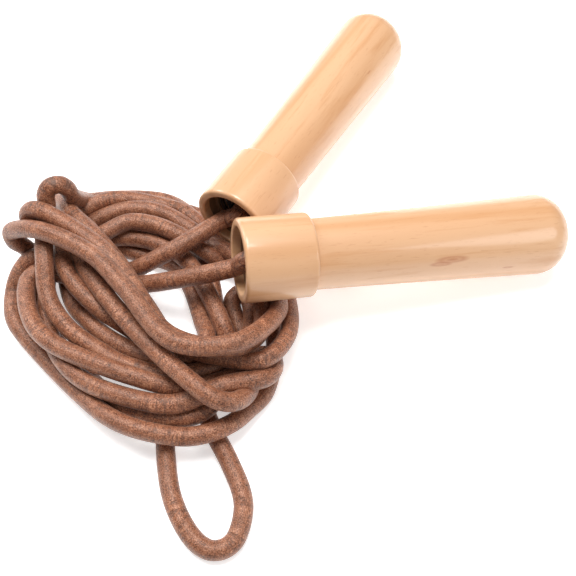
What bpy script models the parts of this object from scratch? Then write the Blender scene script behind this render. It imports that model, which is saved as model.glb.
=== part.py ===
import math

import bmesh
import bpy
import numpy as np
from mathutils import Matrix, Vector

# Jump rope: a leather cord and two turned handles, each running on a ball bearing.
# All dimensions are in millimetres, and the floor is at height 0.
MM = 0.001
cordDia = 8.0
cordPoints = 92
cordGap = 8.05
floorLift = 4.05
collarR, collarLen = 18.0, 30.4
neckR, buttR = 15.24, 18.2
handleLen, buttRound = 149.3, 12.9
cupR, cupDepth = 14.2, 8.3
grooveR, grooveEnd = 12.4, 9.7
seatR, seatFloor = 11.4, 17.0
pocketR, pocketEnd = 7.0, 24.0
bearingR, bearingBore, bearingWide, bearingMid = 11.0, 4.1, 7.0, 13.2
ballR, ballPitch, ballCount = 1.985, 7.5, 7
snapR, snapWire, snapMid, snapGap, snapPoints = 11.4, 0.6, 9.0, 24, 21
woodSteps, ringSteps, smallSteps, cageSteps = 30, 18, 14, 28

# Mouth centre, yaw in degrees, and how far the mouth end is tipped up, for each handle.
handles = {
    "near": {"mouth": (-63.3, -72.8, 39.3), "yaw": 11.8, "tip": 9.0},
    "far": {"mouth": (-67.9, -44.6, 27.0), "yaw": 60.1, "tip": 3.72},
}

# Where the cord runs, from the far handle's bearing to the near handle's.
route = [
    (-69, -39, 23), (-91, -55, 23), (-102, -59, 19), (-113, -60, 12), (-125, -58, 8), (-136, -56, 10), (-150, -53, 15),
    (-156, -55, 16), (-162, -59, 11), (-166, -67, 4), (-164, -80, 4), (-157, -90, 4), (-127, -119, 5), (-107, -134, 12),
    (-85, -139, 12), (-76, -138, 12), (-66, -133, 10), (-59, -125, 6), (-53, -117, 4), (-49, -97, 4), (-52, -75, 4),
    (-62, -56, 4), (-79, -43, 5), (-94, -38, 11), (-104, -35, 12), (-115, -35, 13), (-124, -40, 13), (-132, -46, 15),
    (-140, -48, 19), (-148, -45, 20), (-157, -41, 19), (-160, -41, 22), (-159, -39, 25), (-153, -40, 28), (-124, -57, 24),
    (-111, -73, 24), (-91, -101, 27), (-65, -107, 25), (-52, -98, 20), (-50, -78, 14), (-58, -59, 13), (-65, -52, 14),
    (-98, -29, 12), (-117, -28, 12), (-135, -36, 10), (-142, -41, 6), (-146, -48, 4), (-147, -57, 4), (-140, -77, 6),
    (-132, -86, 8), (-117, -97, 9), (-93, -106, 10), (-78, -103, 12), (-76, -95, 10), (-78, -87, 6), (-93, -57, 4),
    (-112, -51, 4), (-139, -45, 6), (-144, -48, 12), (-144, -55, 18), (-138, -70, 20), (-124, -85, 18), (-107, -97, 12),
    (-97, -113, 6), (-96, -121, 4), (-89, -163, 4), (-78, -180, 4), (-71, -183, 4), (-64, -180, 4), (-60, -165, 4),
    (-67, -146, 4), (-72, -137, 4), (-78, -119, 4), (-74, -79, 4), (-87, -46, 4), (-117, -34, 4), (-129, -35, 4),
    (-139, -32, 4), (-148, -28, 4), (-152, -28, 8), (-151, -27, 13), (-146, -29, 17), (-138, -40, 19), (-131, -47, 18),
    (-116, -65, 19), (-103, -84, 18), (-90, -101, 20), (-58, -110, 20), (-51, -108, 19), (-43, -94, 14), (-45, -69, 6),
    (-50, -59, 4), (-61, -51, 4), (-82, -35, 4), (-104, -21, 4), (-128, -19, 4), (-137, -21, 5), (-140, -26, 12),
    (-141, -31, 23), (-142, -30, 30), (-145, -30, 34), (-150, -32, 33), (-151, -36, 24), (-151, -42, 21), (-150, -52, 23),
    (-149, -61, 23), (-146, -79, 19), (-136, -93, 17), (-120, -104, 15), (-111, -109, 15), (-90, -113, 13), (-68, -107, 12),
    (-61, -98, 11), (-58, -89, 8), (-59, -71, 4), (-62, -64, 4), (-66, -64, 4), (-69, -71, 4), (-64, -89, 4),
    (-63, -100, 4), (-60, -109, 6), (-60, -119, 13), (-66, -126, 20), (-72, -126, 23), (-87, -116, 26), (-116, -87, 24),
    (-135, -62, 20), (-139, -52, 14), (-135, -45, 10), (-117, -42, 10), (-92, -53, 12), (-71, -90, 11), (-69, -96, 6),
    (-72, -114, 6), (-74, -124, 11), (-80, -130, 12), (-90, -132, 12), (-113, -127, 11), (-124, -118, 6), (-141, -101, 4),
    (-153, -83, 4), (-158, -64, 4), (-159, -55, 4), (-160, -50, 8), (-162, -49, 13), (-166, -48, 17), (-167, -46, 21),
    (-150, -52, 31), (-125, -65, 31), (-111, -80, 31), (-88, -107, 34), (-64, -105, 31), (-50, -81, 18), (-54, -60, 7),
    (-60, -48, 4), (-68, -41, 4), (-102, -24, 5), (-125, -23, 11), (-139, -30, 11), (-143, -37, 12), (-149, -42, 8),
    (-153, -48, 4), (-153, -67, 4), (-143, -100, 11), (-127, -116, 13), (-95, -125, 13), (-86, -124, 13), (-71, -119, 18),
    (-57, -115, 18), (-51, -110, 15), (-50, -101, 11), (-56, -97, 8), (-61, -102, 11), (-67, -111, 13), (-84, -118, 14),
    (-104, -115, 17), (-143, -97, 14), (-155, -82, 12), (-158, -66, 12), (-153, -61, 12), (-145, -63, 12), (-133, -65, 12),
    (-111, -71, 17), (-69, -72, 31), (-63, -71, 33),
]

for old in list(bpy.data.objects):
    bpy.data.objects.remove(old, do_unlink=True)
home = bpy.data.collections.new("jump_rope")
bpy.context.scene.collection.children.link(home)
helpers = bpy.data.collections.new("cutters")
bpy.context.scene.collection.children.link(helpers)


def axisOf(spot):
    """The direction from a handle's mouth to its butt."""
    yaw, tip = math.radians(spot["yaw"]), math.radians(spot["tip"])
    flat = math.cos(tip)
    return Vector((math.cos(yaw) * flat, math.sin(yaw) * flat, -math.sin(tip)))


def emptyAt(name, spot):
    """An empty at the middle of a handle's mouth, with its Z axis running to the handle's butt."""
    made = bpy.data.objects.new(name, None)
    made.location = Vector(spot["mouth"]) * MM
    made.rotation_euler = (0, math.radians(90 + spot["tip"]), math.radians(spot["yaw"]))
    home.objects.link(made)
    return made


def material(name, colour, rough, metal=0.0):
    made = bpy.data.materials.new(name)
    made.use_nodes = True
    shader = made.node_tree.nodes["Principled BSDF"]
    shader.inputs["Base Color"].default_value = (*colour, 1.0)
    shader.inputs["Roughness"].default_value = rough
    shader.inputs["Metallic"].default_value = metal
    return made


wood = material("lacquered_beech", (0.78, 0.49, 0.25), 0.28)
steel = material("bearing_steel", (0.56, 0.57, 0.58), 0.25, 1.0)
darkSteel = material("blackened_steel", (0.10, 0.10, 0.11), 0.4, 1.0)
seal = material("seal_rubber", (0.03, 0.03, 0.03), 0.6)
nylon = material("cage_nylon", (0.75, 0.72, 0.62), 0.5)
leather = material("cord_leather", (0.30, 0.16, 0.11), 0.62)


def placed(name, data, parent, slot, collection=home):
    made = bpy.data.objects.new(name, data)
    made.parent = parent
    collection.objects.link(made)
    data.materials.append(slot)
    return made


def turned(name, profile, steps, slot, parent, loop=True):
    """A profile of (radius, height) points on +X, swept once round the parent's Z axis."""
    count = len(profile)
    edges = [(k, k + 1) for k in range(count - 1)] + ([(count - 1, 0)] if loop else [])
    mesh = bpy.data.meshes.new(name)
    mesh.from_pydata([(radius * MM, 0, height * MM) for radius, height in profile], edges, [])
    made = placed(name, mesh, parent, slot)
    sweep = made.modifiers.new("turning", "SCREW")
    sweep.steps = sweep.render_steps = steps
    sweep.use_merge_vertices = True
    sweep.merge_threshold = 0.0001
    sweep.use_smooth_shade = True
    return made


def woodProfile():
    """From the middle of the butt down the outside to the mouth's rim, then up the bore to its end."""
    straight = handleLen - buttRound
    butt = [(buttR * (0.32 + 0.68 * math.cos(math.radians(a))), straight + buttRound * math.sin(math.radians(a)))
            for a in (90, 78, 62, 44, 24, 0)]
    grow = [(neckR + (buttR - neckR) * ((s - collarLen) / (straight - collarLen)) ** 1.15, s)
            for s in (106.0, 78.0, 52.0)]
    shoulder = [(neckR, collarLen + 0.3), (neckR + 0.8, collarLen), (collarR - 0.7, collarLen - 0.6),
                (collarR, collarLen - 2.2)]
    rim = [(collarR, 1.5), (collarR - 0.45, 0.45), (collarR - 1.5, 0.0), (cupR + 0.8, 0.0), (cupR, 0.7)]
    bore = [(cupR, cupDepth), (grooveR, cupDepth), (grooveR, grooveEnd), (seatR, grooveEnd),
            (seatR, seatFloor), (pocketR, seatFloor), (pocketR, pocketEnd)]
    return [(0, handleLen)] + butt + grow + shoulder + rim + bore + [(0, pocketEnd)]


mid, half = bearingMid, bearingWide / 2
front, rear = mid - half, mid + half
outerRace = [(8.95, rear), (bearingR - 0.3, rear), (bearingR, rear - 0.3), (bearingR, front + 0.3),
             (bearingR - 0.3, front), (8.95, front), (8.95, mid - 1.65), (9.8, mid - 0.9),
             (9.8, mid + 0.9), (8.95, mid + 1.65)]
innerRace = [(6.05, rear), (6.05, mid + 1.65), (5.3, mid + 0.9), (5.3, mid - 0.9), (6.05, mid - 1.65),
             (6.05, front), (bearingBore, front), (bearingBore, rear)]
frontShield = [(8.6, mid - 3.0), (8.6, mid - 3.35), (6.4, mid - 3.35), (6.4, mid - 3.0)]
rearShield = [(8.6, mid + 3.35), (8.6, mid + 3.0), (6.4, mid + 3.0), (6.4, mid + 3.35)]
cageBand = [(8.15, mid + 2.7), (8.15, mid - 0.6), (6.75, mid - 0.6), (6.75, mid + 2.7)]
washer = [(5.8, 17.8), (5.8, 17.0), (3.95, 17.0), (3.95, 17.8)]
screw = [(0, 19.2), (1.6, 19.2), (1.6, 20.8), (3.8, 20.8), (4.6, 20.2), (4.6, 18.1), (1.5, 18.1),
         (1.5, 13.0), (0, 13.0)]
socket, sleeve, stem = cordDia / 2 + 0.55, 5.3, 3.65
thimble = [(0, 12.0), (1.9, 12.0), (1.9, 17.8), (stem, 17.8), (stem, 9.4), (sleeve, 9.4), (sleeve, 7.6),
           (socket, 7.6), (socket, 9.1), (0, 9.1)]
ballAngles = [2 * math.pi * (k + 0.5) / ballCount for k in range(ballCount)]
ballSpots = [Vector((ballPitch * math.cos(a), ballPitch * math.sin(a), mid)) * MM for a in ballAngles]


def spheres(name, radius, across, around, spots):
    bm = bmesh.new()
    for spot in spots:
        bmesh.ops.create_uvsphere(bm, u_segments=around, v_segments=across, radius=radius * MM,
                                  matrix=Matrix.Translation(spot))
    mesh = bpy.data.meshes.new(name)
    bm.to_mesh(mesh)
    bm.free()
    mesh.shade_smooth()
    return mesh


def snapRing(name, parent):
    """A bent round wire with its gap at the bottom."""
    curve = bpy.data.curves.new(name, "CURVE")
    curve.dimensions = "3D"
    curve.bevel_depth = snapWire * MM
    curve.bevel_resolution = 2
    curve.use_fill_caps = True
    spline = curve.splines.new("POLY")
    spline.points.add(snapPoints - 1)
    for k, point in enumerate(spline.points):
        angle = math.radians(snapGap / 2 + (360 - snapGap) * k / (snapPoints - 1))
        point.co = (snapR * MM * math.cos(angle), snapR * MM * math.sin(angle), snapMid * MM, 1)
    return placed(name, curve, parent, darkSteel)


for side, spot in handles.items():
    mouth = emptyAt(f"{side}_mouth", spot)
    turned(f"{side}_wooden_handle", woodProfile(), woodSteps, wood, mouth, loop=False)
    turned(f"{side}_bearing_outer_ring", outerRace, ringSteps, steel, mouth)
    turned(f"{side}_bearing_inner_ring", innerRace, ringSteps, steel, mouth)
    turned(f"{side}_front_shield", frontShield, ringSteps, seal, mouth)
    turned(f"{side}_rear_shield", rearShield, ringSteps, seal, mouth)
    turned(f"{side}_cord_thimble", thimble, smallSteps, darkSteel, mouth, loop=False)
    turned(f"{side}_stop_washer", washer, smallSteps, steel, mouth)
    turned(f"{side}_stop_screw", screw, smallSteps, steel, mouth, loop=False)
    snapRing(f"{side}_retaining_ring", mouth)
    cage = turned(f"{side}_ball_cage", cageBand, cageSteps, nylon, mouth)
    pocketMesh = spheres(f"{side}_pockets", ballR + 0.35, 6, 10, ballSpots)
    pockets = placed(f"{side}_cage_pockets", pocketMesh, mouth, nylon, helpers)
    pockets.hide_render = True
    pockets.display_type = "WIRE"
    cut = cage.modifiers.new("pockets", "BOOLEAN")
    cut.object = pockets
    cut.operation = "DIFFERENCE"
    cut.solver = "EXACT"
    for number, where in enumerate(ballSpots, start=1):
        ball = placed(f"{side}_ball_{number}", spheres("bearing_ball", ballR, 6, 8, [Vector()]), mouth, steel)
        ball.location = where


def resample(points, step):
    length = np.concatenate([[0], np.cumsum(np.linalg.norm(np.diff(points, axis=0), axis=1))])
    stops = np.linspace(0, length[-1], max(int(round(length[-1] / step)), 2) + 1)
    return np.stack([np.interp(stops, length, points[:, k]) for k in range(3)], 1)


def smoothCurve(points, step):
    """A curve through every point, with a slope at each one taken from its two neighbours."""
    t = np.concatenate([[0], np.cumsum(np.linalg.norm(np.diff(points, axis=0), axis=1) ** 0.5)])
    slope = np.gradient(points, t, axis=0)
    back = (points[1:-1] - points[:-2]) / (t[1:-1] - t[:-2])[:, None]
    ahead = (points[2:] - points[1:-1]) / (t[2:] - t[1:-1])[:, None]
    slope[1:-1] = back * (t[2:] - t[1:-1])[:, None] + ahead * (t[1:-1] - t[:-2])[:, None]
    slope[1:-1] /= (t[2:] - t[:-2])[:, None]
    u = np.linspace(0, 1, 20, endpoint=False)[:, None]
    pieces = []
    for k in range(len(points) - 1):
        h = t[k + 1] - t[k]
        pieces.append((2 * u**3 - 3 * u**2 + 1) * points[k] + (u**3 - 2 * u**2 + u) * h * slope[k]
                      + (3 * u**2 - 2 * u**3) * points[k + 1] + (u**3 - u**2) * h * slope[k + 1])
    return resample(np.concatenate(pieces + [points[-1:]]), step)


def settle(points, rounds=300, step=5.0, held=4):
    """Lays the cord: strands that share a place are stacked a diameter apart, and none is in the floor."""
    lead = np.array([0, -0.5, 0.866])
    start = smoothCurve(points, step)
    count = len(start)
    moved = np.zeros_like(start)
    one, two = np.triu_indices(count, int(np.ceil(2 * cordGap / step)))
    fromEnd = np.minimum(np.arange(count), count - 1 - np.arange(count))
    free = np.clip((fromEnd - held) / 6, 0, 1)[:, None]
    for turn in range(rounds):
        now = start + moved
        gap = now[two] - now[one]
        size = np.linalg.norm(gap, axis=1)
        close = (size < cordGap) & (size > 1e-6)
        a, b, gap, size = one[close], two[close], gap[close], size[close][:, None]
        over = (gap @ lead)[:, None]
        flat = gap - over * lead
        wide = np.linalg.norm(flat, axis=1)[:, None]
        lift = (np.sqrt(np.maximum(cordGap**2 - wide**2, 0)) - abs(over)) / 2
        stacked = np.where(over >= 0, 1, -1) * lift * lead + 0.06 * flat / np.maximum(wide, 0.5) * (cordGap - size)
        apart = np.where(wide > 0.86 * cordGap, gap / size * (cordGap - size) / 2, stacked)
        push = np.zeros_like(now)
        np.add.at(push, a, -apart)
        np.add.at(push, b, apart)
        push /= np.maximum(np.bincount(np.concatenate([a, b]), minlength=count), 1)[:, None] ** 0.7
        for spot in handles.values():
            along = np.array(axisOf(spot))
            rel = now - np.array(spot["mouth"])
            s = rel @ along
            out = rel - s[:, None] * along
            rho = np.linalg.norm(out, axis=1)
            clear = np.where(s < collarLen, collarR, neckR) + cordDia / 2 + 1.3
            hit = (s > -4) & (s < handleLen) & (rho < clear) & (fromEnd >= held + 6)
            push[hit] += out[hit] / rho[hit][:, None] * (clear - rho)[hit][:, None]
        moved += push * free
        moved[:, 2] += np.maximum(floorLift - start[:, 2] - moved[:, 2], 0)
        moved[1:-1] += 0.4 * ((moved[:-2] + moved[2:]) / 2 - moved[1:-1])
        now = start + moved
        bend = np.zeros_like(now)
        bend[1:-1] = now[:-2] - 2 * now[1:-1] + now[2:]
        span = np.full(count, step**2)
        span[1:-1] = np.sum((now[2:] - now[:-2]) ** 2, axis=1) / 4
        tight = np.linalg.norm(bend, axis=1) / np.maximum(span, 9)
        moved += 0.12 * np.clip(1 - 1 / (6 * np.maximum(tight, 1e-6)), 0, 1)[:, None] * bend
        moved *= free * (0.993 if turn < 0.8 * rounds else 1)
    laid = start + moved
    laid[:, 2] = np.maximum(laid[:, 2], floorLift)
    return laid


def thinned(points, count):
    """The points that keep the cord's shape best: each new one is where the polyline is furthest off."""
    kept = [0, 1, len(points) - 2, len(points) - 1]
    while len(kept) < count:
        worst, where = -1.0, None
        for a, b in zip(kept, kept[1:]):
            if b - a < 2:
                continue
            line = points[b] - points[a]
            rel = points[a + 1:b] - points[a]
            along = np.clip(rel @ line / max(line @ line, 1e-9), 0, 1)
            off = np.linalg.norm(rel - along[:, None] * line, axis=1)
            if off.max() > worst:
                worst, where = off.max(), a + 1 + int(off.argmax())
        kept = sorted(kept + [where])
    return points[kept]


far, near = handles["far"], handles["near"]
ends = [[np.array(spot["mouth"]) + np.array(axisOf(spot)) * s for s in (8.6, 7.0, 4.5, 2.0)] for spot in (far, near)]
whole = np.array(ends[0] + [np.array(p, float) for p in route] + ends[1][::-1])
laid = settle(whole)
length = np.linalg.norm(np.diff(laid, axis=0), axis=1).sum()
print(f"cord length {length:.0f} mm")
path = thinned(laid, cordPoints)

curve = bpy.data.curves.new("leather_cord", "CURVE")
curve.dimensions = "3D"
curve.bevel_depth = cordDia / 2 * MM
curve.bevel_resolution = 2
curve.use_fill_caps = True
spline = curve.splines.new("POLY")
spline.points.add(len(path) - 1)
for point, where in zip(spline.points, path):
    point.co = (*(where * MM), 1)
curve.materials.append(leather)
cord = bpy.data.objects.new("leather_cord", curve)
home.objects.link(cord)
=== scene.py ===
import math

import bmesh
import bpy
import numpy as np
from mathutils import Matrix, Vector


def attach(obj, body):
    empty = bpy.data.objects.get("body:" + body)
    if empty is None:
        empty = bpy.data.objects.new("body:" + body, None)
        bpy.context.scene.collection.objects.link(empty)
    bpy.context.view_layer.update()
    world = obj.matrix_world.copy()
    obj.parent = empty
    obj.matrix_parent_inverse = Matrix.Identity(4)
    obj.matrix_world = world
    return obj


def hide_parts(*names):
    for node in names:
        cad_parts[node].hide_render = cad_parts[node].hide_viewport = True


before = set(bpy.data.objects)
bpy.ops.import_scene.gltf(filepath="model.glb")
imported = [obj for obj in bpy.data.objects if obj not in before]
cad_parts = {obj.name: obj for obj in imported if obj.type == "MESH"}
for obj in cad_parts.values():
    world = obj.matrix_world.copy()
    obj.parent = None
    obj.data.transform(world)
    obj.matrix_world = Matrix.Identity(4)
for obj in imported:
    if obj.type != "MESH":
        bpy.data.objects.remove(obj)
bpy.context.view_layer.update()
scene = bpy.context.scene
print("frame loaded:", len(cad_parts), "nodes")

cameraSet = {
    "place": (-0.0426, -0.249, 0.322),
    "tiltDegrees": 30,  # from straight down
    "lens": 50,
}

cameraData = bpy.data.cameras.new("bench_camera")
cameraData.lens = cameraSet["lens"]
cameraData.sensor_width = 36
cameraData.clip_start = 0.01
camera = bpy.data.objects.new("bench_camera", cameraData)
camera.location = cameraSet["place"]
camera.rotation_euler = (math.radians(cameraSet["tiltDegrees"]), 0, 0)
scene.collection.objects.link(camera)
scene.camera = camera
print("camera placed")

handleSet = {
    "near": {"mouth": (-0.0633, -0.0728, 0.0393), "yaw": 11.8, "tip": 9.0, "seed": 3.0},
    "far": {"mouth": (-0.0679, -0.0446, 0.0270), "yaw": 60.1, "tip": 3.72, "seed": 11.0},
    "collarR": 0.018,
    "collarLen": 0.0304,
    "neckR": 0.01524,
    "buttR": 0.0182,
    "long": 0.1493,
    "buttRound": 0.0129,
    "cupR": 0.0142,
    "cupDepth": 0.0083,
    "grooveR": 0.0124,  # the snap ring's groove
    "grooveEnd": 0.0097,
    "seatR": 0.0114,  # where the bearing sits
    "seatEnd": 0.017,
    "pocketR": 0.007,
    "pocketEnd": 0.024,
    "lipEase": 0.0002,
    "swell": 1.15,  # how late the grip widens towards the butt
    "buttFlat": 0.32,  # share of the butt's radius that its flat end keeps
    "frontFillets": (0.0008, 0.0017, 0.0017, 0.0002),
    "boreFillets": (0, 0.0002, 0.0003, 0.0002, 0, 0.0002, 0.0006),
    "steps": 128,
}


def axisOf(side):
    spot = handleSet[side]
    yaw, tip = math.radians(spot["yaw"]), math.radians(spot["tip"])
    flat = math.cos(tip)
    return Vector((math.cos(yaw) * flat, math.sin(yaw) * flat, -math.sin(tip)))


def handleMatrix(side):  # local +Z runs from the mouth to the butt
    spot = handleSet[side]
    turn = Matrix.Rotation(math.radians(spot["yaw"]), 4, "Z")
    turn = turn @ Matrix.Rotation(math.radians(90 + spot["tip"]), 4, "Y")
    return Matrix.Translation(spot["mouth"]) @ turn


cordSet = {
    "diameter": 0.008,
    "gap": 0.00805,  # between the middles of two strands that touch
    "lift": 0.00405,  # of the lowest strand's middle above the floor
    "ring": 0.0009,
    "sides": 22,
    "seed": 7,
    "depths": (0.0086, 0.007, 0.0045, 0.002),  # in each mouth, where the cord is on the handle's axis
    "thickness": ((24, 0.012), (120, 0.012)),  # rings between changes, then their size
    "oval": (60, 0.018),
    "spin": (90, 0.02),
    "ripple": 0.00005,
    "rippleTurns": 2600,
    "creaseFrom": 12,  # curl, per metre, above which the leather creases
    "creaseSpan": 90,
    "route": [  # the same points as the solid's, from the far handle to the near one
        (-0.069, -0.039, 0.023), (-0.091, -0.055, 0.023), (-0.102, -0.059, 0.019), (-0.113, -0.060, 0.012),
        (-0.125, -0.058, 0.008), (-0.136, -0.056, 0.010), (-0.150, -0.053, 0.015), (-0.156, -0.055, 0.016),
        (-0.162, -0.059, 0.011), (-0.166, -0.067, 0.004), (-0.164, -0.080, 0.004), (-0.157, -0.090, 0.004),
        (-0.127, -0.119, 0.005), (-0.107, -0.134, 0.012), (-0.085, -0.139, 0.012), (-0.076, -0.138, 0.012),
        (-0.066, -0.133, 0.010), (-0.059, -0.125, 0.006), (-0.053, -0.117, 0.004), (-0.049, -0.097, 0.004),
        (-0.052, -0.075, 0.004), (-0.062, -0.056, 0.004), (-0.079, -0.043, 0.005), (-0.094, -0.038, 0.011),
        (-0.104, -0.035, 0.012), (-0.115, -0.035, 0.013), (-0.124, -0.040, 0.013), (-0.132, -0.046, 0.015),
        (-0.140, -0.048, 0.019), (-0.148, -0.045, 0.020), (-0.157, -0.041, 0.019), (-0.160, -0.041, 0.022),
        (-0.159, -0.039, 0.025), (-0.153, -0.040, 0.028), (-0.124, -0.057, 0.024), (-0.111, -0.073, 0.024),
        (-0.091, -0.101, 0.027), (-0.065, -0.107, 0.025), (-0.052, -0.098, 0.020), (-0.050, -0.078, 0.014),
        (-0.058, -0.059, 0.013), (-0.065, -0.052, 0.014), (-0.098, -0.029, 0.012), (-0.117, -0.028, 0.012),
        (-0.135, -0.036, 0.010), (-0.142, -0.041, 0.006), (-0.146, -0.048, 0.004), (-0.147, -0.057, 0.004),
        (-0.140, -0.077, 0.006), (-0.132, -0.086, 0.008), (-0.117, -0.097, 0.009), (-0.093, -0.106, 0.010),
        (-0.078, -0.103, 0.012), (-0.076, -0.095, 0.010), (-0.078, -0.087, 0.006), (-0.093, -0.057, 0.004),
        (-0.112, -0.051, 0.004), (-0.139, -0.045, 0.006), (-0.144, -0.048, 0.012), (-0.144, -0.055, 0.018),
        (-0.138, -0.070, 0.020), (-0.124, -0.085, 0.018), (-0.107, -0.097, 0.012), (-0.097, -0.113, 0.006),
        (-0.096, -0.121, 0.004), (-0.089, -0.163, 0.004), (-0.078, -0.180, 0.004), (-0.071, -0.183, 0.004),
        (-0.064, -0.180, 0.004), (-0.060, -0.165, 0.004), (-0.067, -0.146, 0.004), (-0.072, -0.137, 0.004),
        (-0.078, -0.119, 0.004), (-0.074, -0.079, 0.004), (-0.087, -0.046, 0.004), (-0.117, -0.034, 0.004),
        (-0.129, -0.035, 0.004), (-0.139, -0.032, 0.004), (-0.148, -0.028, 0.004), (-0.152, -0.028, 0.008),
        (-0.151, -0.027, 0.013), (-0.146, -0.029, 0.017), (-0.138, -0.040, 0.019), (-0.131, -0.047, 0.018),
        (-0.116, -0.065, 0.019), (-0.103, -0.084, 0.018), (-0.090, -0.101, 0.020), (-0.058, -0.110, 0.020),
        (-0.051, -0.108, 0.019), (-0.043, -0.094, 0.014), (-0.045, -0.069, 0.006), (-0.050, -0.059, 0.004),
        (-0.061, -0.051, 0.004), (-0.082, -0.035, 0.004), (-0.104, -0.021, 0.004), (-0.128, -0.019, 0.004),
        (-0.137, -0.021, 0.005), (-0.140, -0.026, 0.012), (-0.141, -0.031, 0.023), (-0.142, -0.030, 0.030),
        (-0.145, -0.030, 0.034), (-0.150, -0.032, 0.033), (-0.151, -0.036, 0.024), (-0.151, -0.042, 0.021),
        (-0.150, -0.052, 0.023), (-0.149, -0.061, 0.023), (-0.146, -0.079, 0.019), (-0.136, -0.093, 0.017),
        (-0.120, -0.104, 0.015), (-0.111, -0.109, 0.015), (-0.090, -0.113, 0.013), (-0.068, -0.107, 0.012),
        (-0.061, -0.098, 0.011), (-0.058, -0.089, 0.008), (-0.059, -0.071, 0.004), (-0.062, -0.064, 0.004),
        (-0.066, -0.064, 0.004), (-0.069, -0.071, 0.004), (-0.064, -0.089, 0.004), (-0.063, -0.100, 0.004),
        (-0.060, -0.109, 0.006), (-0.060, -0.119, 0.013), (-0.066, -0.126, 0.020), (-0.072, -0.126, 0.023),
        (-0.087, -0.116, 0.026), (-0.116, -0.087, 0.024), (-0.135, -0.062, 0.020), (-0.139, -0.052, 0.014),
        (-0.135, -0.045, 0.010), (-0.117, -0.042, 0.010), (-0.092, -0.053, 0.012), (-0.071, -0.090, 0.011),
        (-0.069, -0.096, 0.006), (-0.072, -0.114, 0.006), (-0.074, -0.124, 0.011), (-0.080, -0.130, 0.012),
        (-0.090, -0.132, 0.012), (-0.113, -0.127, 0.011), (-0.124, -0.118, 0.006), (-0.141, -0.101, 0.004),
        (-0.153, -0.083, 0.004), (-0.158, -0.064, 0.004), (-0.159, -0.055, 0.004), (-0.160, -0.050, 0.008),
        (-0.162, -0.049, 0.013), (-0.166, -0.048, 0.017), (-0.167, -0.046, 0.021), (-0.150, -0.052, 0.031),
        (-0.125, -0.065, 0.031), (-0.111, -0.080, 0.031), (-0.088, -0.107, 0.034), (-0.064, -0.105, 0.031),
        (-0.050, -0.081, 0.018), (-0.054, -0.060, 0.007), (-0.060, -0.048, 0.004), (-0.068, -0.041, 0.004),
        (-0.102, -0.024, 0.005), (-0.125, -0.023, 0.011), (-0.139, -0.030, 0.011), (-0.143, -0.037, 0.012),
        (-0.149, -0.042, 0.008), (-0.153, -0.048, 0.004), (-0.153, -0.067, 0.004), (-0.143, -0.100, 0.011),
        (-0.127, -0.116, 0.013), (-0.095, -0.125, 0.013), (-0.086, -0.124, 0.013), (-0.071, -0.119, 0.018),
        (-0.057, -0.115, 0.018), (-0.051, -0.110, 0.015), (-0.050, -0.101, 0.011), (-0.056, -0.097, 0.008),
        (-0.061, -0.102, 0.011), (-0.067, -0.111, 0.013), (-0.084, -0.118, 0.014), (-0.104, -0.115, 0.017),
        (-0.143, -0.097, 0.014), (-0.155, -0.082, 0.012), (-0.158, -0.066, 0.012), (-0.153, -0.061, 0.012),
        (-0.145, -0.063, 0.012), (-0.133, -0.065, 0.012), (-0.111, -0.071, 0.017), (-0.069, -0.072, 0.031),
        (-0.063, -0.071, 0.033),
    ],
}


def resample(points, step):
    run = np.concatenate([[0], np.cumsum(np.linalg.norm(np.diff(points, axis=0), axis=1))])
    stops = np.linspace(0, run[-1], max(int(round(run[-1] / step)), 2) + 1)
    return np.stack([np.interp(stops, run, points[:, k]) for k in range(3)], 1)


def smoothCurve(points, step):
    t = np.concatenate([[0], np.cumsum(np.linalg.norm(np.diff(points, axis=0), axis=1) ** 0.5)])
    slope = np.gradient(points, t, axis=0)
    back = (points[1:-1] - points[:-2]) / (t[1:-1] - t[:-2])[:, None]
    ahead = (points[2:] - points[1:-1]) / (t[2:] - t[1:-1])[:, None]
    slope[1:-1] = back * (t[2:] - t[1:-1])[:, None] + ahead * (t[1:-1] - t[:-2])[:, None]
    slope[1:-1] /= (t[2:] - t[:-2])[:, None]
    u = np.linspace(0, 1, 20, endpoint=False)[:, None]
    pieces = []
    for k in range(len(points) - 1):
        h = t[k + 1] - t[k]
        pieces.append((2 * u**3 - 3 * u**2 + 1) * points[k] + (u**3 - 2 * u**2 + u) * h * slope[k]
                      + (3 * u**2 - 2 * u**3) * points[k + 1] + (u**3 - u**2) * h * slope[k + 1])
    return resample(np.concatenate(pieces + [points[-1:]]), step)


settleSet = {
    "rounds": 300,
    "step": 5.0,  # millimetres between samples
    "held": 4,  # samples at each end that stay on the handle's axis
    "ease": 6,  # samples over which the ends come free
    "lead": (0, -0.5, 0.866),  # the way in which strands are stacked
    "slide": 0.06,
    "sideways": 0.86,  # of a diameter: past it, strands part straight away from each other
    "sharing": 0.7,
    "spare": 1.3,  # millimetres kept clear of a handle
    "smoothing": 0.4,
    "unbend": 0.12,
    "tightest": 6,  # bend radius in millimetres that it works towards
    "fade": 0.993,
    "fadeUntil": 0.8,
}


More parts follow.
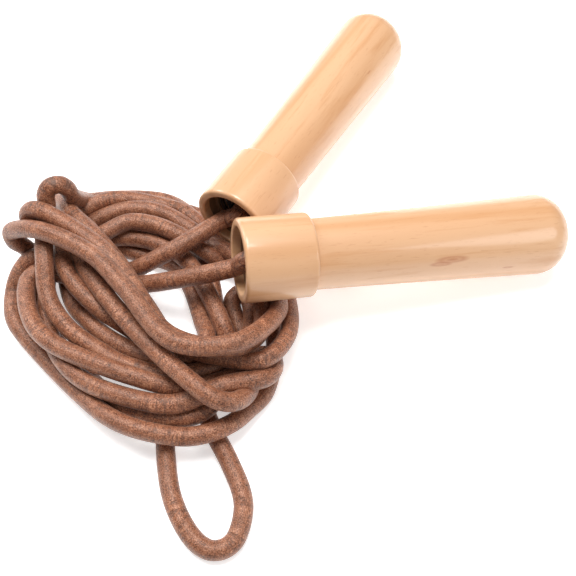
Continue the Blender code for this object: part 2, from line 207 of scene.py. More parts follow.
def settle(points):  # in millimetres: works the strands towards a diameter apart
    rounds, step, held = (settleSet[name] for name in ("rounds", "step", "held"))
    gapWide, lift = cordSet["gap"] * 1000, cordSet["lift"] * 1000
    lead = np.array(settleSet["lead"])
    start = smoothCurve(points, step)
    count = len(start)
    moved = np.zeros_like(start)
    one, two = np.triu_indices(count, int(np.ceil(2 * gapWide / step)))
    fromEnd = np.minimum(np.arange(count), count - 1 - np.arange(count))
    free = np.clip((fromEnd - held) / settleSet["ease"], 0, 1)[:, None]
    for turn in range(rounds):
        now = start + moved
        gap = now[two] - now[one]
        size = np.linalg.norm(gap, axis=1)
        close = (size < gapWide) & (size > 1e-6)
        a, b, gap, size = one[close], two[close], gap[close], size[close][:, None]
        over = (gap @ lead)[:, None]
        flat = gap - over * lead
        wide = np.linalg.norm(flat, axis=1)[:, None]
        rise = (np.sqrt(np.maximum(gapWide**2 - wide**2, 0)) - abs(over)) / 2
        slid = settleSet["slide"] * flat / np.maximum(wide, 0.5) * (gapWide - size)
        stacked = np.where(over >= 0, 1, -1) * rise * lead + slid
        straight = gap / size * (gapWide - size) / 2
        apart = np.where(wide > settleSet["sideways"] * gapWide, straight, stacked)
        push = np.zeros_like(now)
        np.add.at(push, a, -apart)
        np.add.at(push, b, apart)
        shared = np.maximum(np.bincount(np.concatenate([a, b]), minlength=count), 1)
        push /= shared[:, None] ** settleSet["sharing"]
        for side in ("near", "far"):
            along = np.array(axisOf(side))
            rel = now - np.array(handleSet[side]["mouth"]) * 1000
            s = rel @ along
            out = rel - s[:, None] * along
            rho = np.linalg.norm(out, axis=1)
            clear = np.where(s < 1000 * handleSet["collarLen"], 1000 * handleSet["collarR"],
                             1000 * handleSet["neckR"]) + 500 * cordSet["diameter"] + settleSet["spare"]
            beside = (s > -500 * cordSet["diameter"]) & (s < 1000 * handleSet["long"])
            hit = beside & (rho < clear) & (fromEnd >= held + settleSet["ease"])
            push[hit] += out[hit] / rho[hit][:, None] * (clear - rho)[hit][:, None]
        moved += push * free
        moved[:, 2] += np.maximum(lift - start[:, 2] - moved[:, 2], 0)
        moved[1:-1] += settleSet["smoothing"] * ((moved[:-2] + moved[2:]) / 2 - moved[1:-1])
        now = start + moved
        bend = np.zeros_like(now)
        bend[1:-1] = now[:-2] - 2 * now[1:-1] + now[2:]
        span = np.full(count, step**2)
        span[1:-1] = np.sum((now[2:] - now[:-2]) ** 2, axis=1) / 4
        tight = np.linalg.norm(bend, axis=1) / np.maximum(span, 9)
        excess = np.clip(1 - 1 / (settleSet["tightest"] * np.maximum(tight, 1e-6)), 0, 1)
        moved += settleSet["unbend"] * excess[:, None] * bend
        moved *= free * (settleSet["fade"] if turn < settleSet["fadeUntil"] * rounds else 1)
    laid = start + moved
    laid[:, 2] = np.maximum(laid[:, 2], lift)
    return laid


def cordLine():
    ends = []
    for side in ("far", "near"):
        mouth, along = Vector(handleSet[side]["mouth"]), axisOf(side)
        ends.append([tuple(mouth + along * s) for s in cordSet["depths"]])
    whole = np.array(ends[0] + cordSet["route"] + ends[1][::-1]) * 1000
    laid = settle(whole)
    return smoothCurve(laid, cordSet["ring"] * 1000) / 1000


def carriedFrames(line):  # a side vector that doesn't twist, carried along the line
    ahead = np.gradient(line, axis=0)
    ahead /= np.linalg.norm(ahead, axis=1)[:, None]
    sides = np.zeros_like(line)
    side = np.cross(ahead[0], (0, 0, 1.0))
    for k, along in enumerate(ahead):
        side = side - along * (side @ along)
        side /= np.linalg.norm(side)
        sides[k] = side
    return ahead, sides, np.cross(ahead, sides)


def wander(rng, count, every, amount):  # slow random change, one value a ring
    knots = rng.normal(0, amount, max(int(count / every), 2) + 3)
    return np.interp(np.linspace(0, len(knots) - 1, count), np.arange(len(knots)), knots)


def storeOn(mesh, name, kind, values):  # keeps values on the points, for a material to read
    field = "vector" if kind == "FLOAT_VECTOR" else "value"
    mesh.attributes.new(name, kind, "POINT").data.foreach_set(field, values.reshape(-1).astype(np.float32))


def leatherCord(line):
    rng = np.random.default_rng(cordSet["seed"])
    ahead, sides, ups = carriedFrames(line)
    count, around = len(line), cordSet["sides"]
    curl = np.gradient(ahead, axis=0) / cordSet["ring"]
    fine, broad = cordSet["thickness"]
    radius = cordSet["diameter"] / 2 * (1 + wander(rng, count, *fine) + wander(rng, count, *broad))
    layRadius = 500 * cordSet["diameter"]  # the leather's pattern is laid in millimetres
    angles = np.linspace(0, 2 * math.pi, around, endpoint=False)
    run = np.arange(count) * cordSet["ring"]
    oval = wander(rng, count, *cordSet["oval"])
    spin = np.cumsum(wander(rng, count, *cordSet["spin"]))
    verts = np.zeros((count, around, 3))
    lay = np.zeros((count, around, 3))
    inner = np.zeros((count, around))
    for k, angle in enumerate(angles):
        out = sides * math.cos(angle) + ups * math.sin(angle)
        facing = np.einsum("ij,ij->i", out, curl)
        inner[:, k] = facing
        ripple = cordSet["ripple"] * np.clip(facing / cordSet["creaseSpan"], 0, 1)
        ripple = ripple * np.sin(run * cordSet["rippleTurns"] + 3 * np.sin(angle * 2 + run * 300))
        size = radius * (1 + oval * np.cos(2 * (angle + spin))) + ripple
        verts[:, k] = line + out * size[:, None]
        lay[:, k, 0] = run * 1000
        lay[:, k, 1:] = layRadius * math.cos(angle), layRadius * math.sin(angle)
    flatVerts = [tuple(v) for v in verts.reshape(-1, 3)]
    faces = []
    for r in range(count - 1):
        for k in range(around):
            n = (k + 1) % around
            faces.append((r * around + k, r * around + n, (r + 1) * around + n, (r + 1) * around + k))
    faces.append(tuple(range(around))[::-1])
    faces.append(tuple((count - 1) * around + k for k in range(around)))
    mesh = bpy.data.meshes.new("cord_skin")
    mesh.from_pydata(flatVerts, [], faces)
    storeOn(mesh, "lay", "FLOAT_VECTOR", lay)
    # how sharply the skin is bent at each point; the material paints shade into the creases from it
    creaseShade = np.clip((np.abs(inner) - cordSet["creaseFrom"]) / cordSet["creaseSpan"], 0, 1)
    storeOn(mesh, "creaseShade", "FLOAT", creaseShade)
    mesh.shade_smooth()
    made = bpy.data.objects.new("round_leather_cord", mesh)
    scene.collection.objects.link(made)
    return made, verts


line = cordLine()
cord, cordVerts = leatherCord(line)


def nodeIn(tree, kind, sockets=(), **settings):  # one shader node with its inputs filled or linked
    made = tree.nodes.new(kind)
    for name, value in settings.items():
        setattr(made, name, value)
    for key, value in dict(sockets).items():
        if isinstance(value, bpy.types.NodeSocket):
            tree.links.new(value, made.inputs[key])
        else:
            made.inputs[key].default_value = value
    return made


def rampIn(tree, fac, stops):
    made = tree.nodes.new("ShaderNodeValToRGB")
    while len(made.color_ramp.elements) < len(stops):
        made.color_ramp.elements.new(0.5)
    for slot, (where, colour) in zip(made.color_ramp.elements, stops):
        slot.position = where
        slot.color = (*colour, 1) if len(colour) == 3 else colour
    tree.links.new(fac, made.inputs[0])
    return made.outputs[0]


def mixIn(tree, fac, one, two, blend="MIX"):
    made = nodeIn(tree, "ShaderNodeMix", data_type="RGBA", blend_type=blend)
    for socket, value in zip((made.inputs[0], made.inputs[6], made.inputs[7]), (fac, one, two)):
        if isinstance(value, bpy.types.NodeSocket):
            tree.links.new(value, socket)
        else:
            socket.default_value = value
    return made.outputs[2]


def mathIn(tree, kind, *values):
    return nodeIn(tree, "ShaderNodeMath", enumerate(values), operation=kind).outputs[0]


def newMaterial(name, **fixed):
    made = bpy.data.materials.new(name)
    made.use_nodes = True
    shader = made.node_tree.nodes["Principled BSDF"]
    for key, value in fixed.items():
        shader.inputs[key.replace("_", " ")].default_value = value
    return made, made.node_tree, shader


def bumpIn(tree, shader, height, strength, distance, before=None):
    sockets = {"Height": height, "Strength": strength, "Distance": distance}
    if before is not None:
        sockets["Normal"] = before
    made = nodeIn(tree, "ShaderNodeBump", sockets)
    tree.links.new(made.outputs[0], shader.inputs["Normal"])
    return made.outputs[0]


def grey(level):
    return (level, level, level)


leatherSet = {
    "deep": (0.035, 0.010, 0.005),
    "brown": (0.205, 0.074, 0.036),
    "tan": (0.325, 0.134, 0.070),
    "pale": (0.600, 0.330, 0.205),
    "dull": (0.76, 0.70, 0.67),
    "bright": (1.10, 1.05, 1.02),
    "worn": (0.50, 0.31, 0.235, 1),
    # painted shade: the dark colour of the crease lines
    "creaseShade": (0.085, 0.036, 0.024, 1),
    "mottleScale": 0.30,
    "speckScale": 2.0,
    "patchScale": 0.07,
    "pebbleScale": 1.25,
    "acrossScale": 1.05,
    "fibreScale": 2.2,
}


def leatherMaterial():
    s = leatherSet
    made, tree, shader = newMaterial("worn_leather", Sheen_Weight=0.12, Sheen_Roughness=0.35,
                                     Sheen_Tint=(1.0, 0.86, 0.78, 1), Specular_IOR_Level=0.6,
                                     Specular_Tint=(1.0, 0.87, 0.78, 1))
    lay = nodeIn(tree, "ShaderNodeAttribute", attribute_name="lay").outputs["Vector"]
    folds = nodeIn(tree, "ShaderNodeAttribute", attribute_name="creaseShade").outputs["Fac"]
    mottle = nodeIn(tree, "ShaderNodeTexNoise", {"Vector": lay, "Scale": s["mottleScale"], "Detail": 3,
                                                 "Roughness": 0.6})
    speck = nodeIn(tree, "ShaderNodeTexNoise", {"Vector": lay, "Scale": s["speckScale"], "Detail": 3,
                                                "Roughness": 0.6})
    patch = nodeIn(tree, "ShaderNodeTexNoise", {"Vector": lay, "Scale": s["patchScale"], "Detail": 3})
    pebble = nodeIn(tree, "ShaderNodeTexVoronoi", {"Vector": lay, "Scale": s["pebbleScale"], "Randomness": 1})
    squeezed = nodeIn(tree, "ShaderNodeMapping", {"Vector": lay, "Scale": (1.0, 0.16, 0.16)}).outputs[0]
    across = nodeIn(tree, "ShaderNodeTexNoise", {"Vector": squeezed, "Scale": s["acrossScale"], "Detail": 4,
                                                 "Roughness": 0.6})
    drawn = nodeIn(tree, "ShaderNodeMapping", {"Vector": lay, "Scale": (0.1, 1.0, 1.0)}).outputs[0]
    fibre = nodeIn(tree, "ShaderNodeTexNoise", {"Vector": drawn, "Scale": s["fibreScale"], "Detail": 4,
                                                "Roughness": 0.6})
    blend = mathIn(tree, "ADD", mathIn(tree, "MULTIPLY", mottle.outputs[0], 0.25),
                   mathIn(tree, "MULTIPLY", speck.outputs[0], 0.75))
    base = rampIn(tree, blend, [(0.37, s["deep"]), (0.46, s["brown"]), (0.54, s["tan"]), (0.70, s["pale"])])
    tone = rampIn(tree, patch.outputs[0], [(0.35, s["dull"]), (0.65, s["bright"])])
    base = mixIn(tree, 1.0, base, tone, "MULTIPLY")
    worn = mathIn(tree, "GREATER_THAN", fibre.outputs[0], 0.62)
    base = mixIn(tree, mathIn(tree, "MULTIPLY", worn, 0.25), base, s["worn"])
    # Thin dark lines across the cord, on bends and in random patches: painted shade in the creases, with a
    # matching dent in the bump below.
    line = rampIn(tree, across.outputs[0], [(0.41, grey(1)), (0.48, grey(0))])
    where = rampIn(tree, patch.outputs[0], [(0.47, grey(0)), (0.60, grey(1))])
    amount = mathIn(tree, "MULTIPLY", line, mathIn(tree, "MAXIMUM", mathIn(tree, "MULTIPLY", folds, 0.8),
                                                   mathIn(tree, "MULTIPLY", where, 0.6)))
    base = mixIn(tree, amount, base, s["creaseShade"])
    tree.links.new(base, shader.inputs["Base Color"])
    gloss = rampIn(tree, speck.outputs[0], [(0.3, grey(0.50)), (0.7, grey(0.30))])
    tree.links.new(gloss, shader.inputs["Roughness"])
    first = bumpIn(tree, shader, pebble.outputs[0], 0.35, 0.0002)
    second = bumpIn(tree, shader, speck.outputs[0], 0.75, 0.0003, first)
    bumpIn(tree, shader, mathIn(tree, "MULTIPLY", amount, -1.0), 0.6, 0.0003, second)
    return made


woodSet = {
    "pale": (0.660, 0.398, 0.226),
    "mid": (0.595, 0.338, 0.182),
    "dark": (0.520, 0.250, 0.098),
    "dash": (0.45, 0.215, 0.095, 1),
    "knot": (0.38, 0.115, 0.030, 1),
    # colour inside the cup: the bare end grain's own tone darkened further with painted shade
    "cup": (0.235, 0.125, 0.066, 1),
    "cupReach": 0.03,  # how far from the mouth the cup's darkening can reach: partly the bare end grain's darker tone, partly painted shade in the hollow
    "knotDistance": 0.0172,  # from the handle's axis to the middle of a knot
    "grainStretch": 0.07,
    "rayStretch": 0.16,
    "swayScale": 22.0,
    "swaySize": 0.006,
    "ringScale": 42.0,
    "streakScale": 260.0,
    "broadScale": 55.0,
    "rayScale": 1500.0,
    "waveScale": 70.0,
    "knots": {  # metres from the mouth, degrees round from the front over the top, then half width in metres
        "near": [(0.089, 31, 0.0032), (0.084, 24, 0.0022), (0.0235, 37, 0.0010), (0.0335, 32, 0.0008),
                 (0.067, 19, 0.0012), (0.117, 8, 0.0012), (0.062, 200, 0.0024)],
        "far": [(0.108, 40, 0.0008), (0.061, 150, 0.0022)],
    },
}


def woodMaterial(side):
    s = woodSet
    made, tree, shader = newMaterial(f"lacquered_beech_{side}", Coat_Weight=0.5, Coat_Roughness=0.11,
                                     Coat_IOR=1.5, Specular_IOR_Level=0.45)
    spot = nodeIn(tree, "ShaderNodeAttribute", attribute_name="turning").outputs["Vector"]
    seed = handleSet[side]["seed"]
    moved = nodeIn(tree, "ShaderNodeMapping", {"Vector": spot, "Location": (0, 0, seed),
                                               "Scale": (1, 1, s["grainStretch"])}).outputs[0]
    sway = nodeIn(tree, "ShaderNodeTexNoise", {"Vector": moved, "Scale": s["swayScale"], "Detail": 2})
    reach = (s["swaySize"], s["swaySize"], 0)
    bent = nodeIn(tree, "ShaderNodeVectorMath", {0: sway.outputs["Color"], 1: reach}, operation="MULTIPLY")
    bent = nodeIn(tree, "ShaderNodeVectorMath", {0: moved, 1: bent.outputs[0]}, operation="ADD").outputs[0]
    rings = nodeIn(tree, "ShaderNodeTexWave", {"Vector": bent, "Scale": s["ringScale"], "Distortion": 2.2,
                                               "Detail": 2, "Detail Scale": 1.2},
                   wave_type="BANDS", bands_direction="DIAGONAL")
    streak = nodeIn(tree, "ShaderNodeTexNoise", {"Vector": bent, "Scale": s["streakScale"], "Detail": 5,
                                                 "Roughness": 0.6})
    broad = nodeIn(tree, "ShaderNodeTexNoise", {"Vector": moved, "Scale": s["broadScale"], "Detail": 2})
    fine = nodeIn(tree, "ShaderNodeMapping", {"Vector": spot, "Location": (0, 0, seed),
                                              "Scale": (1, 1, s["rayStretch"])}).outputs[0]
    rays = nodeIn(tree, "ShaderNodeTexNoise", {"Vector": fine, "Scale": s["rayScale"], "Detail": 2})
    base = rampIn(tree, broad.outputs[0], [(0.35, s["mid"]), (0.62, s["pale"])])
    soft = rampIn(tree, rings.outputs[0], [(0.0, grey(0)), (0.75, grey(0.12)), (1.0, grey(0.45))])
    base = mixIn(tree, soft, base, (*s["dark"], 1))
    lines = rampIn(tree, streak.outputs[0], [(0.53, grey(0)), (0.70, grey(0.6))])
    base = mixIn(tree, lines, base, (*s["dark"], 1))
    dashes = rampIn(tree, rays.outputs[0], [(0.62, grey(0)), (0.72, grey(0.32))])
    base = mixIn(tree, dashes, base, s["dash"])
    for along, degrees, size in s["knots"][side]:
        angle = math.radians(degrees)
        middle = (-s["knotDistance"] * math.sin(angle), -s["knotDistance"] * math.cos(angle), along)
        off = nodeIn(tree, "ShaderNodeVectorMath", {0: spot, 1: middle}, operation="SUBTRACT").outputs[0]
        off = nodeIn(tree, "ShaderNodeVectorMath", {0: off, 1: (1 / size, 1 / size, 0.24 / size)},
                     operation="MULTIPLY").outputs[0]
        far = nodeIn(tree, "ShaderNodeVectorMath", {0: off}, operation="LENGTH").outputs["Value"]
        far = mathIn(tree, "ADD", far, mathIn(tree, "MULTIPLY", streak.outputs[0], 0.7))
        eye = rampIn(tree, far, [(0.42, grey(0.85)), (0.62, grey(0.30)), (0.76, grey(0.55)), (1.0, grey(0))])
        base = mixIn(tree, eye, base, s["knot"])
    # Inside the cup the colour turns much darker: partly the bare end grain's own tone, partly painted shade
    # in the hollow.
    across = nodeIn(tree, "ShaderNodeVectorMath", {0: spot, 1: (1, 1, 0)}, operation="MULTIPLY").outputs[0]
    fromAxis = nodeIn(tree, "ShaderNodeVectorMath", {0: across}, operation="LENGTH").outputs["Value"]
    height = nodeIn(tree, "ShaderNodeSeparateXYZ", {0: spot}).outputs["Z"]
    inside = mathIn(tree, "MULTIPLY", mathIn(tree, "LESS_THAN", fromAxis, handleSet["cupR"] + 0.0001),
                    mathIn(tree, "LESS_THAN", height, s["cupReach"]))
    base = mixIn(tree, inside, base, s["cup"])
    tree.links.new(base, shader.inputs["Base Color"])
    gloss = rampIn(tree, streak.outputs[0], [(0.3, grey(0.34)), (0.7, grey(0.46))])
    tree.links.new(gloss, shader.inputs["Roughness"])
    first = bumpIn(tree, shader, streak.outputs[0], 0.12, 0.0001)
    wave = nodeIn(tree, "ShaderNodeTexNoise", {"Vector": spot, "Scale": s["waveScale"], "Detail": 1})
    bumpIn(tree, shader, wave.outputs[0], 0.05, 0.0006, first)
    return made


def metalMaterial(name, colour, rough, scuff):
    made, tree, shader = newMaterial(name, Metallic=1.0)
    spot = nodeIn(tree, "ShaderNodeTexCoord").outputs["Object"]
    grain = nodeIn(tree, "ShaderNodeTexNoise", {"Vector": spot, "Scale": 900.0, "Detail": 4,
                                                "Roughness": 0.7})
    cloud = nodeIn(tree, "ShaderNodeTexNoise", {"Vector": spot, "Scale": 160.0, "Detail": 2})
    dim = tuple(c * (1 - scuff) for c in colour)
    tree.links.new(rampIn(tree, cloud.outputs[0], [(0.3, dim), (0.7, colour)]), shader.inputs["Base Color"])
    low, high = grey(max(rough - scuff * 0.3, 0.05)), grey(rough + scuff * 0.5)
    tree.links.new(rampIn(tree, grain.outputs[0], [(0.3, low), (0.7, high)]), shader.inputs["Roughness"])
    bumpIn(tree, shader, grain.outputs[0], 0.08, 0.00005)
    return made


def plasticMaterial(name, colour, rough):
    made, tree, shader = newMaterial(name, Specular_IOR_Level=0.5)
    spot = nodeIn(tree, "ShaderNodeTexCoord").outputs["Object"]
    grain = nodeIn(tree, "ShaderNodeTexNoise", {"Vector": spot, "Scale": 1400.0, "Detail": 3})
    cloud = nodeIn(tree, "ShaderNodeTexNoise", {"Vector": spot, "Scale": 220.0, "Detail": 2})
    dim = tuple(c * 0.8 for c in colour)
    tree.links.new(rampIn(tree, cloud.outputs[0], [(0.3, dim), (0.7, colour)]), shader.inputs["Base Color"])
    tree.links.new(rampIn(tree, grain.outputs[0], [(0.3, grey(rough - 0.06)), (0.7, grey(rough + 0.08))]),
                   shader.inputs["Roughness"])
    bumpIn(tree, shader, grain.outputs[0], 0.15, 0.00004)
    return made


leather = leatherMaterial()
cord.data.materials.append(leather)
print("leather made")


def rounded(profile, radii, parts=5):  # each corner of a closed (along, radius) outline gets its own fillet
    made = []
    count = len(profile)
    for k, radius in enumerate(radii):
        before, here, after = (Vector(profile[i % count]) for i in (k - 1, k, k + 1))
        one, two = (before - here), (after - here)
        if radius == 0 or one.length < 1e-9 or two.length < 1e-9:
            made.append(tuple(here))
            continue
        half = one.angle(two) / 2
        back = min(radius / math.tan(half), 0.49 * one.length, 0.49 * two.length)
        start, end = here + one.normalized() * back, here + two.normalized() * back
        for step in range(parts + 1):
            t = step / parts
            made.append(tuple(start * (1 - t) ** 2 + here * 2 * t * (1 - t) + end * t**2))
    return made


def turnedMesh(name, profile, steps):  # turned about local Z from (along, radius) points in metres
    bm = bmesh.new()
    rings = []
    for along, radius in profile:
        if radius < 1e-7:
            rings.append([bm.verts.new((0, 0, along))])
            continue
        angles = [2 * math.pi * k / steps for k in range(steps)]
        rings.append([bm.verts.new((radius * math.cos(a), radius * math.sin(a), along)) for a in angles])
    for one, two in zip(rings, rings[1:] + rings[:1]):
        for k in range(steps):
            corners = [one[k % len(one)], one[(k + 1) % steps % len(one)],
                       two[(k + 1) % steps % len(two)], two[k % len(two)]]
            kept = [v for i, v in enumerate(corners) if v not in corners[:i]]
            if len(kept) > 2:
                bm.faces.new(kept)
    bmesh.ops.recalc_face_normals(bm, faces=bm.faces)
    mesh = bpy.data.meshes.new(name)
    bm.to_mesh(mesh)
    bm.free()
    mesh.shade_smooth()
    mesh.set_sharp_from_angle(angle=math.radians(40))
    return mesh


def placed(name, mesh, matrix, material):  # the turning attribute keeps each point's place on its own axis
    spots = np.zeros(len(mesh.vertices) * 3, np.float32)
    mesh.vertices.foreach_get("co", spots)
    storeOn(mesh, "turning", "FLOAT_VECTOR", spots)
    mesh.transform(matrix)
    made = bpy.data.objects.new(name, mesh)
    scene.collection.objects.link(made)
    mesh.materials.append(material)
    return made


def woodOutline():
    s = handleSet
    rim = [(0.0, s["cupR"] + s["lipEase"]), (0.0, s["collarR"])]
    foot = [(s["collarLen"], s["collarR"]), (s["collarLen"] + 0.0003, s["neckR"])]
    straight = s["long"] - s["buttRound"]
    grow = []
    for k in range(1, 15):
        share = k / 14
        along = s["collarLen"] + (straight - s["collarLen"]) * share
        grow.append((along, s["neckR"] + (s["buttR"] - s["neckR"]) * share ** s["swell"]))
    butt = []
    for k in range(1, 19):
        angle = math.radians(90 * k / 18)
        width = s["buttFlat"] + (1 - s["buttFlat"]) * math.cos(angle)
        butt.append((straight + s["buttRound"] * math.sin(angle), s["buttR"] * width))
    ends = [(s["long"], 0), (s["pocketEnd"], 0)]
    pocket = [(s["pocketEnd"], s["pocketR"]), (s["seatEnd"], s["pocketR"])]
    seat = [(s["seatEnd"], s["seatR"]), (s["grooveEnd"], s["seatR"])]
    groove = [(s["grooveEnd"], s["grooveR"]), (s["cupDepth"], s["grooveR"])]
    cup = [(s["cupDepth"], s["cupR"])]
    plain = [0] * (len(grow) + len(butt) + len(ends))
    profile = rim + foot + grow + butt + ends + pocket + seat + groove + cup
    return rounded(profile, [*s["frontFillets"], *plain, *s["boreFillets"]], 7)


bearingSet = {
    "mid": 0.0132,
    "half": 0.0035,
    "outer": 0.011,
    "bore": 0.0041,
    "ball": 0.001985,
    "pitch": 0.0075,
    "balls": 7,
    "trackR": 0.0022,
    "outerLip": 0.00895,  # the outer ring's inside, beside its track
    "innerLip": 0.00605,
    "chamfer": 0.0003,
    "shieldFace": 0.00335,  # from the bearing's middle
    "shieldBack": 0.003,
    "shieldInside": 0.0064,
    "shieldOutside": 0.0086,
    "steps": 96,
}
thimbleSet = {
    "start": 0.0076,
    "socketEnd": 0.0091,
    "flangeEnd": 0.0094,
    "holeStart": 0.012,
    "end": 0.0178,
    "socketR": 0.00455,
    "flangeR": 0.0053,
    "stemR": 0.00365,
    "holeR": 0.0019,
}
washerSet = {"start": 0.017, "end": 0.0178, "holeR": 0.00395, "outsideR": 0.0058}
screwSet = {
    "tip": 0.013,
    "head": 0.0181,
    "shoulder": 0.0202,
    "top": 0.0208,
    "recess": 0.0192,
    "shankR": 0.0015,
    "headR": 0.0046,
    "topR": 0.0038,
    "recessR": 0.0016,
}


def bearingOutlines():
    b = bearingSet
    m, h = b["mid"], b["half"]
    groove = [math.radians(a) for a in range(-50, 51, 10)]
    track, pitch, cut = b["trackR"], b["pitch"], b["chamfer"]
    outerTrack = [(m - track * math.sin(a), pitch + track * math.cos(a)) for a in groove]
    innerTrack = [(m + track * math.sin(a), pitch - track * math.cos(a)) for a in groove]
    outerRing = [(m - h, b["outerLip"]), (m - h, b["outer"] - cut), (m - h + cut, b["outer"])]
    outerRing += [(m + h - cut, b["outer"]), (m + h, b["outer"] - cut), (m + h, b["outerLip"])]
    outerRing += outerTrack
    innerRing = [(m - h, b["bore"]), (m - h, b["innerLip"])] + innerTrack
    innerRing += [(m + h, b["innerLip"]), (m + h, b["bore"])]
    face, back = m - b["shieldFace"], m - b["shieldBack"]
    inside, outside = b["shieldInside"], b["shieldOutside"]
    frontShield = [(face, inside), (face, outside), (back, outside), (back, inside)]
    rearShield = [(2 * m - s, r) for s, r in frontShield]
    c = thimbleSet
    thimble = [(c["start"], c["socketR"]), (c["start"], c["flangeR"]), (c["flangeEnd"], c["flangeR"]),
               (c["flangeEnd"], c["stemR"]), (c["end"], c["stemR"]), (c["end"], c["holeR"]),
               (c["holeStart"], c["holeR"]), (c["holeStart"], 0), (c["socketEnd"], 0),
               (c["socketEnd"], c["socketR"])]
    w = washerSet
    washer = [(w["start"], w["holeR"]), (w["start"], w["outsideR"]), (w["end"], w["outsideR"]),
              (w["end"], w["holeR"])]
    d = screwSet
    screw = [(d["tip"], 0), (d["tip"], d["shankR"]), (d["head"], d["shankR"]), (d["head"], d["headR"]),
             (d["shoulder"], d["headR"]), (d["top"], d["topR"]), (d["top"], d["recessR"]),
             (d["recess"], d["recessR"]), (d["recess"], 0)]
    return {
        "bearing_outer_ring": (outerRing, [0.0001] * 6 + [0] * (len(outerRing) - 6)),
        "bearing_inner_ring": (innerRing, [0.00015] * 2 + [0] * len(innerTrack) + [0.00015] * 2),
        "front_shield": (frontShield, [0.0001] * 4),
        "rear_shield": (rearShield, [0.0001] * 4),
        "cord_thimble": (thimble, [0.0002, 0.0003, 0.0003, 0.0002, 0.0003, 0, 0, 0, 0, 0]),
        "stop_washer": (washer, [0.0002] * 4),
        "stop_screw": (screw, [0, 0.0003, 0, 0.0003, 0.0006, 0.0003, 0.0002, 0, 0]),
    }


steel = metalMaterial("polished_steel", (0.72, 0.72, 0.73), 0.16, 0.12)
blackSteel = metalMaterial("blackened_steel", (0.16, 0.15, 0.15), 0.34, 0.25)
seal = plasticMaterial("seal_rubber", (0.035, 0.033, 0.032), 0.5)
nylon = plasticMaterial("cage_nylon", (0.66, 0.58, 0.42), 0.42)
finishes = {
    "bearing_outer_ring": (steel, "bearing_steel"),
    "bearing_inner_ring": (steel, "bearing_steel"),
    "front_shield": (seal, "seal_rubber"),
    "rear_shield": (seal, "seal_rubber"),
    "cord_thimble": (blackSteel, "blackened_steel"),
    "stop_washer": (steel, "bearing_steel"),
    "stop_screw": (steel, "bearing_steel"),
}
print("metals and plastics made")

for side in ("near", "far"):
    matrix = handleMatrix(side)
    handle = placed(f"{side}_turned_handle", turnedMesh(f"{side}_wood", woodOutline(), handleSet["steps"]),
                    matrix, woodMaterial(side))
    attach(handle, f"{side}_handle")
    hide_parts(f"{side}_wooden_handle")
    for part, (outline, radii) in bearingOutlines().items():
        finish, slot = finishes[part]
        piece = placed(f"{side}_{part}_smooth", turnedMesh(f"{side}_{part}", rounded(outline, radii, 3),
                       bearingSet["steps"]), matrix, finish)
        moving = part in ("bearing_inner_ring", "cord_thimble", "stop_washer", "stop_screw")
        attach(piece, "rope" if moving else f"{side}_handle")
        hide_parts(f"{side}_{part}")
    for number in range(bearingSet["balls"]):
        angle = 2 * math.pi * (number + 0.5) / bearingSet["balls"]
        bm = bmesh.new()
        bmesh.ops.create_icosphere(bm, subdivisions=4, radius=bearingSet["ball"])
        mesh = bpy.data.meshes.new(f"{side}_ball_{number + 1}_mesh")
        bm.to_mesh(mesh)
        bm.free()
        mesh.shade_smooth()
        pitch = bearingSet["pitch"]
        where = Vector((pitch * math.cos(angle), pitch * math.sin(angle), bearingSet["mid"]))
        ball = placed(f"{side}_ball_{number + 1}_smooth", mesh, matrix @ Matrix.Translation(where), steel)
        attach(ball, f"{side}_ball_train")
        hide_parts(f"{side}_ball_{number + 1}")
    for part, finish in (("ball_cage", nylon), ("retaining_ring", blackSteel)):
        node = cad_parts[f"{side}_{part}"]
        node.data.materials.clear()
        node.data.materials.append(finish)
    print(side, "handle turned")

fibreSet = {
    "seed": 23,
    "fuzz": 2600,
    "fuzzLength": 0.0011,
    "fuzzRadius": 0.000022,
    "loose": 16,
    "looseLength": 0.016,
    "looseRadius": 0.000045,
    "dark": (0.40, 0.20, 0.12),
    "pale": (0.72, 0.52, 0.38),
}


def looseFibres():  # short nap standing on the skin, and a few long hairs that have come free of it
    rng = np.random.default_rng(fibreSet["seed"])
    verts, faces = [], []
    count, around = cordVerts.shape[:2]

    def strand(points, radius):
        sides = 3
        first = len(verts)
        for k, here in enumerate(points):
            along = (points[min(k + 1, len(points) - 1)] - points[max(k - 1, 0)]).normalized()
            one = along.orthogonal().normalized()
            two = along.cross(one)
            thin = radius * (1 - 0.7 * k / (len(points) - 1))
            for n in range(sides):
                angle = 2 * math.pi * n / sides
                verts.append(tuple(here + (one * math.cos(angle) + two * math.sin(angle)) * thin))
        for k in range(len(points) - 1):
            for n in range(sides):
                a, b = first + k * sides + n, first + k * sides + (n + 1) % sides
                faces.append((a, b, b + sides, a + sides))

    for number in range(fibreSet["fuzz"] + fibreSet["loose"]):
        loose = number >= fibreSet["fuzz"]
        ring, angle = int(rng.integers(30, count - 30)), int(rng.integers(around))
        root = Vector(cordVerts[ring, angle])
        out = (root - Vector(line[ring])).normalized()
        along = Vector(line[ring + 1] - line[ring - 1]).normalized()
        cross = along.cross(out)
        if loose:
            out = (out + Vector((0, 0, 0.7))).normalized()
        length = fibreSet["looseLength" if loose else "fuzzLength"] * rng.uniform(0.5, 1.4)
        steps = 9 if loose else 3
        heading = out * (0.5 if loose else 0.7) + along * rng.normal(0, 0.8) + cross * rng.normal(0, 0.6)
        points = [root - out * 0.0002]
        for k in range(steps):
            heading = heading + Vector(rng.normal(0, 0.28, 3)) - out * (0.10 if loose else 0.25)
            here = points[-1] + heading.normalized() * length / steps
            here.z = max(here.z, 0.0003)
            points.append(here)
        strand(points, fibreSet["looseRadius" if loose else "fuzzRadius"])
    mesh = bpy.data.meshes.new("cord_nap")
    mesh.from_pydata(verts, [], faces)
    mesh.shade_smooth()
    made = bpy.data.objects.new("cord_fibres", mesh)
    scene.collection.objects.link(made)
    return made


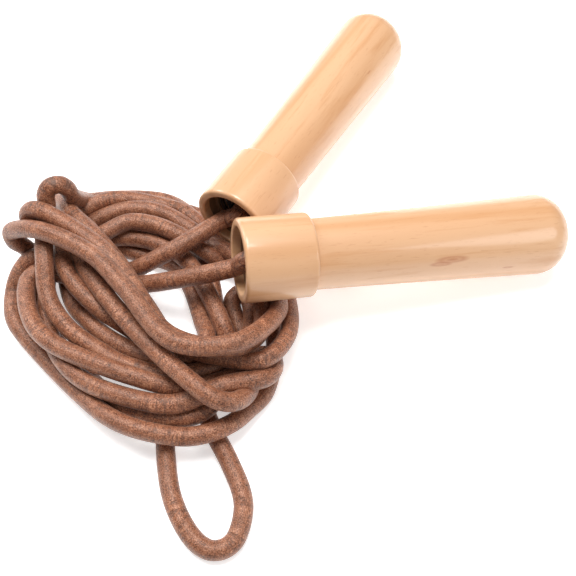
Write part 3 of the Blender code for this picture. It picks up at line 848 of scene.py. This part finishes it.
fibreFinish, fibreTree, fibreShader = newMaterial("pale_fibre", Sheen_Weight=0.3)
fibreSpot = nodeIn(fibreTree, "ShaderNodeTexCoord").outputs["Object"]
fibreNoise = nodeIn(fibreTree, "ShaderNodeTexNoise", {"Vector": fibreSpot, "Scale": 90.0, "Detail": 2})
fibreTone = rampIn(fibreTree, fibreNoise.outputs[0], [(0.35, fibreSet["dark"]), (0.65, fibreSet["pale"])])
fibreTree.links.new(fibreTone, fibreShader.inputs["Base Color"])
fibreGloss = rampIn(fibreTree, fibreNoise.outputs[0], [(0.3, grey(0.5)), (0.7, grey(0.7))])
fibreTree.links.new(fibreGloss, fibreShader.inputs["Roughness"])
fibres = looseFibres()
fibres.data.materials.append(fibreFinish)
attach(fibres, "rope")
print("fibres grown")

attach(cord, "rope")
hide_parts("leather_cord")

lightSet = {
    "world": 0.30,
    "floor": (0.93, 0.93, 0.93),
    "floorPale": (0.95, 0.95, 0.95),
    "floorGlow": 0.5,
    "panels": [  # place, size, power
        ((-0.08, 0.10, 0.85), (0.42, 0.42), 8.4),
        ((-0.65, 0.35, 0.50), (0.4, 0.3), 3.6),
        ((0.60, -0.35, 0.50), (0.4, 0.3), 1.6),
    ],
    "aim": (-0.02, -0.03, 0.02),
}

floorMesh = bpy.data.meshes.new("studio_floor")
floorMesh.from_pydata([(-40, -40, 0), (40, -40, 0), (40, 40, 0), (-40, 40, 0)], [], [(0, 1, 2, 3)])
floor = bpy.data.objects.new("studio_floor", floorMesh)
scene.collection.objects.link(floor)
floorFinish, floorTree, floorShader = newMaterial("pale_floor", Roughness=0.9, Specular_IOR_Level=0.1)
floorSpot = nodeIn(floorTree, "ShaderNodeTexCoord").outputs["Object"]
floorNoise = nodeIn(floorTree, "ShaderNodeTexNoise", {"Vector": floorSpot, "Scale": 3.0, "Detail": 2})
floorTone = rampIn(floorTree, floorNoise.outputs[0], [(0.3, lightSet["floor"]), (0.7, lightSet["floorPale"])])
floorTree.links.new(floorTone, floorShader.inputs["Base Color"])
floorShader.inputs["Emission Color"].default_value = (1, 1, 1, 1)
floorShader.inputs["Emission Strength"].default_value = lightSet["floorGlow"]
floorMesh.materials.append(floorFinish)

world = bpy.data.worlds.new("studio")
world.use_nodes = True
world.node_tree.nodes["Background"].inputs[0].default_value = (1, 1, 1, 1)
world.node_tree.nodes["Background"].inputs[1].default_value = lightSet["world"]
scene.world = world
for number, (place, size, power) in enumerate(lightSet["panels"], start=1):
    data = bpy.data.lights.new(f"panel_{number}", "AREA")
    data.shape = "RECTANGLE"
    data.size, data.size_y = size
    data.energy = power
    lamp = bpy.data.objects.new(f"panel_{number}", data)
    lamp.location = place
    lamp.rotation_euler = (Vector(lightSet["aim"]) - Vector(place)).to_track_quat("-Z", "Y").to_euler()
    scene.collection.objects.link(lamp)
scene.view_settings.view_transform = "Standard"
print("floor and lights placed")

bpy.context.view_layer.update()
